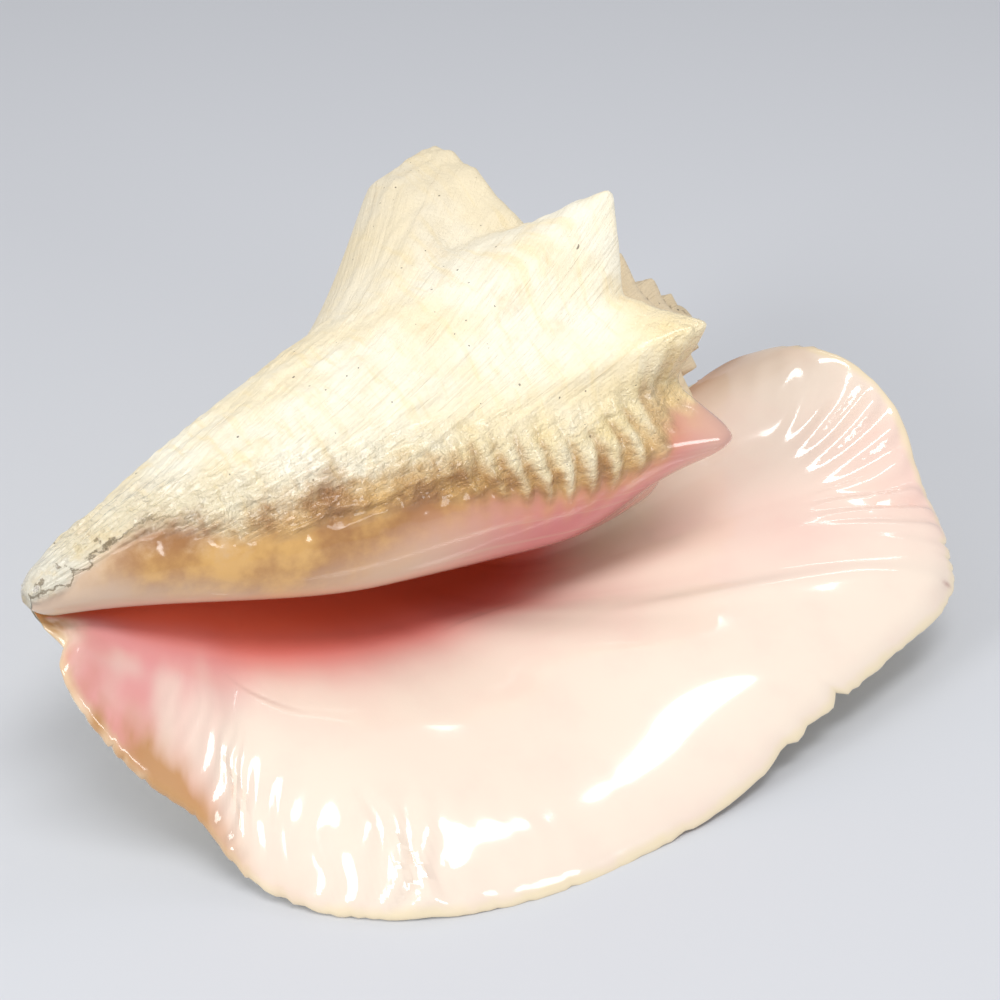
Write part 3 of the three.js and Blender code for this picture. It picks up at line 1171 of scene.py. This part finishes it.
class Nodes:
    """A material's nodes, added by short calls."""

    def __init__(self, tree: bpy.types.NodeTree) -> None:
        """Keep the tree that the nodes go into."""
        self.tree = tree

    def add(self, kind: str, **inputs: object) -> bpy.types.Node:
        """Add a node and fill its inputs.

        Args:
            kind: Node type name.
            inputs: Values or sockets by input name, with underscores for spaces; names
                that start with a small letter are properties of the node.

        Returns:
            The node.
        """
        node = self.tree.nodes.new(kind)
        for name, value in inputs.items():
            if name[0].islower():
                setattr(node, name, value)
        for name, value in inputs.items():
            if not name[0].islower():
                self.fill(node.inputs[name.replace("_", " ")], value)
        return node

    def fill(self, socket: Socket, value: object) -> None:
        """Link a socket, or set its value.

        Args:
            socket: The input to fill.
            value: A socket to link to it, or a value to set.
        """
        if isinstance(value, Socket):
            self.tree.links.new(value, socket)
        else:
            socket.default_value = value

    def math(self, operation: str, a: object, b: object = 0.0) -> Socket:
        """Math node.

        Args:
            operation: Name of the operation.
            a: First value or socket.
            b: Second value or socket.

        Returns:
            The result.
        """
        node = self.add("ShaderNodeMath", operation=operation)
        self.fill(node.inputs[0], a)
        self.fill(node.inputs[1], b)
        return node.outputs[0]

    def share(self, value: object, share: object) -> Socket:
        """A share of a value, their product."""
        return self.math("MULTIPLY", value, share)

    def plus(self, a: object, b: object) -> Socket:
        """Sum of two values."""
        return self.math("ADD", a, b)

    def less(self, a: object, b: object) -> Socket:
        """First value less the second."""
        return self.math("SUBTRACT", a, b)

    def rest(self, value: object) -> Socket:
        """What is left of 1 after a value."""
        return self.less(1.0, value)

    def step(self, value: object, low: float, high: float) -> Socket:
        """Smooth step of a value.

        Args:
            value: The value.
            low: Where the step starts, at 0.
            high: Where the step ends, at 1.

        Returns:
            The step.
        """
        node = self.add("ShaderNodeMapRange", interpolation_type="SMOOTHSTEP", Value=value)
        node.inputs["From Min"].default_value = low
        node.inputs["From Max"].default_value = high
        return node.outputs["Result"]

    def blend(self, share: object, a: object, b: object, kind: Mixed = Mixed.COLOUR) -> Socket:
        """Mix of two colours or two values.

        Args:
            share: 0 for the first, 1 for the second.
            a: The first.
            b: The second.
            kind: What is mixed.

        Returns:
            The mix.
        """
        data_type, first, second, result = kind.value
        node = self.add("ShaderNodeMix", data_type=data_type)
        self.fill(node.inputs[0], share)
        self.fill(node.inputs[first], a)
        self.fill(node.inputs[second], b)
        return node.outputs[result]

    def over(self, colour: object, mask: object, paint: Paint) -> Socket:
        """A paint laid over a colour where a mask is 1."""
        return self.blend(mask, colour, linear(*paint))

    def noise(self, where: object, scale: float, detail: float = 3.0, rough: float = 0.55) -> Socket:
        """Noise texture.

        Args:
            where: Coordinates.
            scale: Size of the grain, in grains to a unit of the coordinates.
            detail: Number of finer sizes on top.
            rough: Strength of each finer size.

        Returns:
            The noise, about 0.5.
        """
        node = self.add("ShaderNodeTexNoise", Vector=where, Scale=scale, Detail=detail, Roughness=rough)
        return node.outputs["Fac"]

    def shaken(self, value: object, noise: object, by: float) -> Socket:
        """A value moved up and down by noise, with the noise less 0.5 times an amount."""
        return self.plus(value, self.share(self.less(noise, 0.5), by))

    def grown(self, turn: object, height: object, by_turn: float, by_height: float) -> Socket:
        """Coordinates on the growing shell, along which a noise is drawn out where its scale is small.

        Args:
            turn: Growth angle in degrees.
            height: Height on the axis in millimetres.
            by_turn: Scale of the growth angle.
            by_height: Scale of the height.

        Returns:
            The coordinates.
        """
        x, y = self.share(turn, by_turn), self.share(height, by_height)
        return self.add("ShaderNodeCombineXYZ", X=x, Y=y).outputs[0]

    def mask(self, name: str) -> Socket:
        """One of the mesh's point attributes."""
        return self.add("ShaderNodeAttribute", attribute_name=name).outputs["Fac"]


@dataclass(frozen=True)
class ShellFinish:
    """Chalky outside, glazed inside and the brown crusty margin between them."""

    chalk: Paint = (247, 233, 199)
    chalk_pale: Paint = (252, 245, 224)
    chalk_warm: Paint = (234, 208, 164)
    chalk_yellow: Paint = (247, 222, 160)
    chalk_grey: Paint = (202, 186, 154)
    chalk_dull: Paint = (224, 208, 176)
    tan: Paint = (224, 202, 166)
    speck: Paint = (84, 74, 62)
    brown: Paint = (220, 170, 92)
    brown_dark: Paint = (164, 108, 46)
    crust: Paint = (112, 90, 52)
    salmon: Paint = (222, 158, 122)
    callus_pale: Paint = (216, 190, 166)
    callus_pink: Paint = (210, 122, 126)
    cream: Paint = (244, 227, 209)
    pink: Paint = (236, 160, 158)
    rose: Paint = (228, 122, 112)
    throat: Paint = (226, 98, 70)
    edge: Paint = (244, 226, 184)
    edge_brown: Paint = (190, 138, 80)
    # Painted shade, laid in the creases and the nick of the aperture floor.
    shade: Paint = (176, 132, 122)
    chalk_roughness: float = 0.5
    chalk_grain: float = 0.3
    glaze_roughness: float = 0.1
    glaze_grain: float = 0.06
    coat: float = 0.6
    coat_roughness: float = 0.05
    ior: float = 1.52
    bump_strength: float = 0.8
    bump_distance: float = 0.001

    def outside(self, n: Nodes, where: Socket, drawn: Socket) -> Socket:
        """Colour of the chalky outside: pale ground, warm streaks, grey hair lines and dark specks.

        Args:
            n: The material's nodes.
            where: Object coordinates.
            drawn: Noise drawn out along the growth lines.

        Returns:
            The colour.
        """
        turn, height, glaze = n.mask("turn"), n.mask("height"), n.mask("glaze")
        cords = n.noise(n.grown(turn, height, 0.035, 0.3), 1.0, 4.0)
        broad, middling = n.noise(where, 38.0, 4.0), n.noise(where, 120.0, 4.0)
        chalk = n.over(linear(*self.chalk), n.step(broad, 0.38, 0.62), self.chalk_pale)
        streaks = (
            (cords, 0.5, 0.72, 0.4, self.chalk_yellow),
            (drawn, 0.54, 0.74, 0.4, self.chalk_warm),
            (middling, 0.55, 0.8, 0.5, self.chalk_warm),
        )
        for noise, low, high, share, paint in streaks:
            chalk = n.over(chalk, n.share(n.step(noise, low, high), share), paint)
        from_level = n.math("ABSOLUTE", n.less(drawn, 0.43))
        hair = n.share(n.rest(n.step(from_level, 0.002, 0.012)), n.step(broad, 0.48, 0.6))
        chalk = n.over(chalk, n.share(hair, 0.45), self.chalk_grey)
        far = n.rest(n.step(glaze, -100.0, -48.0))
        chalk = n.over(chalk, n.share(far, n.plus(0.3, n.share(broad, 0.5))), self.chalk_dull)
        near = n.share(n.step(glaze, -34.0, -10.0), n.step(height, 50.0, 110.0))
        chalk = n.over(chalk, n.share(near, n.share(middling, 1.1)), self.chalk_yellow)
        chalk = n.over(chalk, n.share(n.mask("old"), 0.85), self.tan)
        specks = n.step(n.noise(where, 520.0, 1.0), 0.76, 0.78)
        return n.over(chalk, n.share(specks, 0.75), self.speck)

    def inside(self, n: Nodes, where: Socket) -> Socket:
        """Colour of the glazed inside, from the throat to the lip edge, and of the callus, with painted shade
        in the creases.

        Args:
            n: The material's nodes.
            where: Object coordinates.

        Returns:
            The colour.
        """
        deep, blush, rim = n.mask("deep"), n.mask("blush"), n.mask("rim")
        streaks = n.noise(n.grown(n.mask("turn"), n.mask("height"), 0.35, 0.012), 1.0, 4.0)
        broad = n.noise(where, 60.0, 4.0)
        colour = n.over(linear(*self.cream), n.step(blush, 0.0, 1.0), self.pink)
        colour = n.over(colour, n.share(n.step(broad, 0.4, 0.8), 0.1), self.pink)
        colour = n.over(colour, n.step(deep, 0.0, 0.55), self.rose)
        colour = n.over(colour, n.step(deep, 0.35, 0.9), self.throat)
        blushing = n.step(n.plus(blush, n.share(broad, 0.3)), 0.15, 1.1)
        callus = n.over(linear(*self.callus_pale), blushing, self.callus_pink)
        callus = n.over(callus, n.share(n.step(streaks, 0.5, 0.75), 0.4), self.callus_pale)
        colour = n.blend(n.mask("callus"), colour, callus)
        band = n.rest(n.step(n.plus(rim, n.share(broad, 6.0)), 3.5, 7.0))
        colour = n.over(colour, n.share(band, 0.75), self.edge)
        colour = n.over(colour, n.share(n.mask("stain"), 0.9), self.edge_brown)
        # Painted shade: the shade colour laid in the creases and the nick of the aperture floor.
        return n.over(colour, n.share(n.mask("crease_shade"), 0.7), self.shade)

    def margin(
        self, n: Nodes, colour: Socket, soft: Socket, crusty: Socket, crumple: Socket, broad: Socket
    ) -> Socket:
        """The brown margin and its thin dark line, laid over the colour of the two sides.

        Args:
            n: The material's nodes.
            colour: Colour without the margin.
            soft: Glaze mask shaken a little.
            crusty: Glaze mask shaken hard.
            crumple: Noise of a few millimetres.
            broad: Noise of a centimetre or two.

        Returns:
            The colour.
        """
        height = n.mask("height")
        late = n.share(n.rest(n.step(height, 30.0, 75.0)), 10.5)
        begun = n.less(n.less(crusty, late), n.share(n.mask("finger"), 8.0))
        wide = n.share(n.step(height, 8.0, 30.0), n.rest(n.step(height, 60.0, 125.0)))
        kept = n.less(soft, n.share(wide, 9.0))
        band = n.share(n.step(begun, -16.0, -3.0), n.rest(n.step(kept, -1.0, 11.0)))
        ends = n.share(n.step(height, 4.0, 30.0), n.rest(n.step(height, 140.0, 180.0)))
        band = n.share(band, n.plus(0.12, n.share(ends, 0.78)))
        cloudy = n.plus(n.share(crumple, 0.2), n.share(broad, 0.8))
        brown = n.over(linear(*self.brown), n.step(cloudy, 0.36, 0.64), self.brown_dark)
        reddened = n.share(n.step(kept, -2.0, 7.0), n.step(height, 50.0, 110.0))
        brown = n.over(brown, reddened, self.salmon)
        colour = n.blend(band, colour, brown)
        line = n.rest(n.step(n.math("ABSOLUTE", n.plus(crusty, 1.0)), 0.2, 1.0))
        front = n.rest(n.step(height, 24.0, 48.0))
        return n.over(colour, n.share(n.share(line, front), 0.7), self.crust)

    def build(self) -> bpy.types.Material:
        """Make the material.

        Each border is shaken by noise in the object's own space, so that none
        is a clean line.

        Returns:
            The material.
        """
        material = bpy.data.materials.new("conch_shell_surface")
        material.use_nodes = True
        material.node_tree.nodes.clear()
        n = Nodes(material.node_tree)
        where = n.add("ShaderNodeTexCoord").outputs["Object"]
        height = n.mask("height")
        slanted = n.less(n.mask("turn"), n.share(height, GROWTH_SLANT))
        drawn = n.noise(n.grown(slanted, height, 0.5, 0.025), 1.0, 5.0, 0.6)
        broad = n.noise(where, 60.0, 3.0)
        crumple = n.noise(where, 300.0, 4.0, 0.6)
        fine = n.noise(where, 900.0, 4.0, 0.6)

        glaze = n.less(n.mask("glaze"), n.share(n.mask("finger"), 2.5))
        crusty = n.shaken(n.shaken(glaze, crumple, 12.0), broad, 16.0)
        soft = n.shaken(glaze, broad, 8.0)
        glazed = n.step(soft, -1.5, 2.5)
        shine = n.step(crusty, -26.0, -14.0)
        colour = n.blend(glazed, self.outside(n, where, drawn), self.inside(n, where))
        colour = self.margin(n, colour, soft, crusty, crumple, broad)

        dull = n.plus(self.chalk_roughness, n.share(fine, self.chalk_grain))
        glossy = n.plus(self.glaze_roughness, n.share(fine, self.glaze_grain))
        rough = n.blend(shine, dull, glossy, Mixed.VALUE)

        texture = n.plus(n.share(fine, 0.5), n.share(drawn, 1.1))
        crust = n.share(n.step(glaze, -26.0, -8.0), n.rest(n.step(glaze, -5.0, 3.0)))
        relief = n.plus(n.share(texture, n.rest(glazed)), n.share(n.share(crumple, 5.0), crust))
        bump = n.add("ShaderNodeBump", Strength=self.bump_strength, Distance=self.bump_distance)
        n.fill(bump.inputs["Height"], relief)

        shader = n.add(
            "ShaderNodeBsdfPrincipled",
            Base_Color=colour,
            Roughness=rough,
            Normal=bump.outputs[0],
            Coat_Weight=n.share(shine, self.coat),
            Coat_Roughness=self.coat_roughness,
            IOR=self.ior,
        )
        n.add("ShaderNodeOutputMaterial", Surface=shader.outputs[0])
        return material


@dataclass(frozen=True)
class Light:
    """An oval area light: its place and its width and height in metres, and its watts."""

    name: str
    place: Point
    size: Span
    power: float


@dataclass(frozen=True)
class Studio:
    """Pale floor, soft lights and the camera at the photograph's viewing angle."""

    target: Point = (-5.358, 14.129, 41.6)
    distance: float = 503.0
    elevation: float = math.radians(36.0)
    lens: float = 66.6
    sensor: float = 36.0
    clip: Span = (0.01, 20.0)
    floor_size: float = 4.0
    floor_colour: Paint = (208, 210, 214)
    floor_roughness: float = 0.6
    lit_point: Point = (0.0, 0.0, 0.04)
    lights: tuple[Light, ...] = (
        Light("overhead", (0.13, -0.22, 0.95), (0.66, 0.25), 3.5),
        Light("window", (0.32, 0.48, 0.8), (0.62, 0.035), 0.4),
        Light("left", (-0.75, -0.55, 0.58), (0.4, 0.4), 4.2),
        Light("front", (0.65, -0.75, 0.45), (0.3, 0.3), 1.6),
    )
    sky_colour: tuple[float, float, float, float] = (0.95, 0.96, 1.0, 1.0)
    sky_strength: float = 0.54

    def camera(self) -> None:
        """Make the camera, which looks along +Y and down at the shell."""
        data = bpy.data.cameras.new("camera")
        data.lens, data.sensor_width = self.lens, self.sensor
        data.clip_start, data.clip_end = self.clip
        made = bpy.data.objects.new("camera", data)
        bpy.context.scene.collection.objects.link(made)
        back = Vector((0.0, -math.cos(self.elevation), math.sin(self.elevation)))
        made.location = (Vector(self.target) + back * self.distance) * MM
        made.rotation_mode = "QUATERNION"
        made.rotation_quaternion = (-back).to_track_quat("-Z", "Y")
        bpy.context.scene.camera = made

    def floor(self) -> None:
        """Make the plain pale floor, one square at height 0."""
        half = self.floor_size / 2.0
        corners = np.array([[-half, -half, 0], [half, -half, 0], [half, half, 0], [-half, half, 0]])
        made = bpy.data.objects.new("floor", mesh_of("floor_mesh", corners, np.array([[0, 1, 2, 3]])))
        bpy.context.scene.collection.objects.link(made)
        material = bpy.data.materials.new("floor_paper")
        material.use_nodes = True
        shader = material.node_tree.nodes["Principled BSDF"]
        shader.inputs["Base Color"].default_value = linear(*self.floor_colour)
        shader.inputs["Roughness"].default_value = self.floor_roughness
        made.data.materials.append(material)

    def light(self, light: Light) -> None:
        """Hang one light so that it points at the shell.

        Args:
            light: The light.
        """
        data = bpy.data.lights.new(light.name, "AREA")
        data.energy, data.shape = light.power, "ELLIPSE"
        data.size, data.size_y = light.size
        made = bpy.data.objects.new(light.name, data)
        made.location = light.place
        made.rotation_mode = "QUATERNION"
        made.rotation_quaternion = (Vector(self.lit_point) - Vector(light.place)).to_track_quat("-Z", "Y")
        bpy.context.scene.collection.objects.link(made)

    def build(self) -> None:
        """Make the camera, the floor, the lights and the world."""
        self.camera()
        self.floor()
        for light in self.lights:
            self.light(light)
        world = bpy.data.worlds.new("studio")
        world.use_nodes = True
        background = world.node_tree.nodes["Background"]
        background.inputs["Color"].default_value = self.sky_colour
        background.inputs["Strength"].default_value = self.sky_strength
        bpy.context.scene.world = world
        bpy.context.scene.view_settings.view_transform = "Standard"


def main() -> None:
    """Build the stage and the shell."""
    Studio().build()
    log.info("stage built")
    finish = ShellFinish().build()
    for piece in Conch().build():
        piece.data.materials.append(finish)
        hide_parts(NODE)
        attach(piece, "root")
        log.info("%s: %d faces", piece.name, len(piece.data.polygons))


if __name__ == "__main__":
    logging.basicConfig(level=logging.INFO, format="%(message)s")
    main()
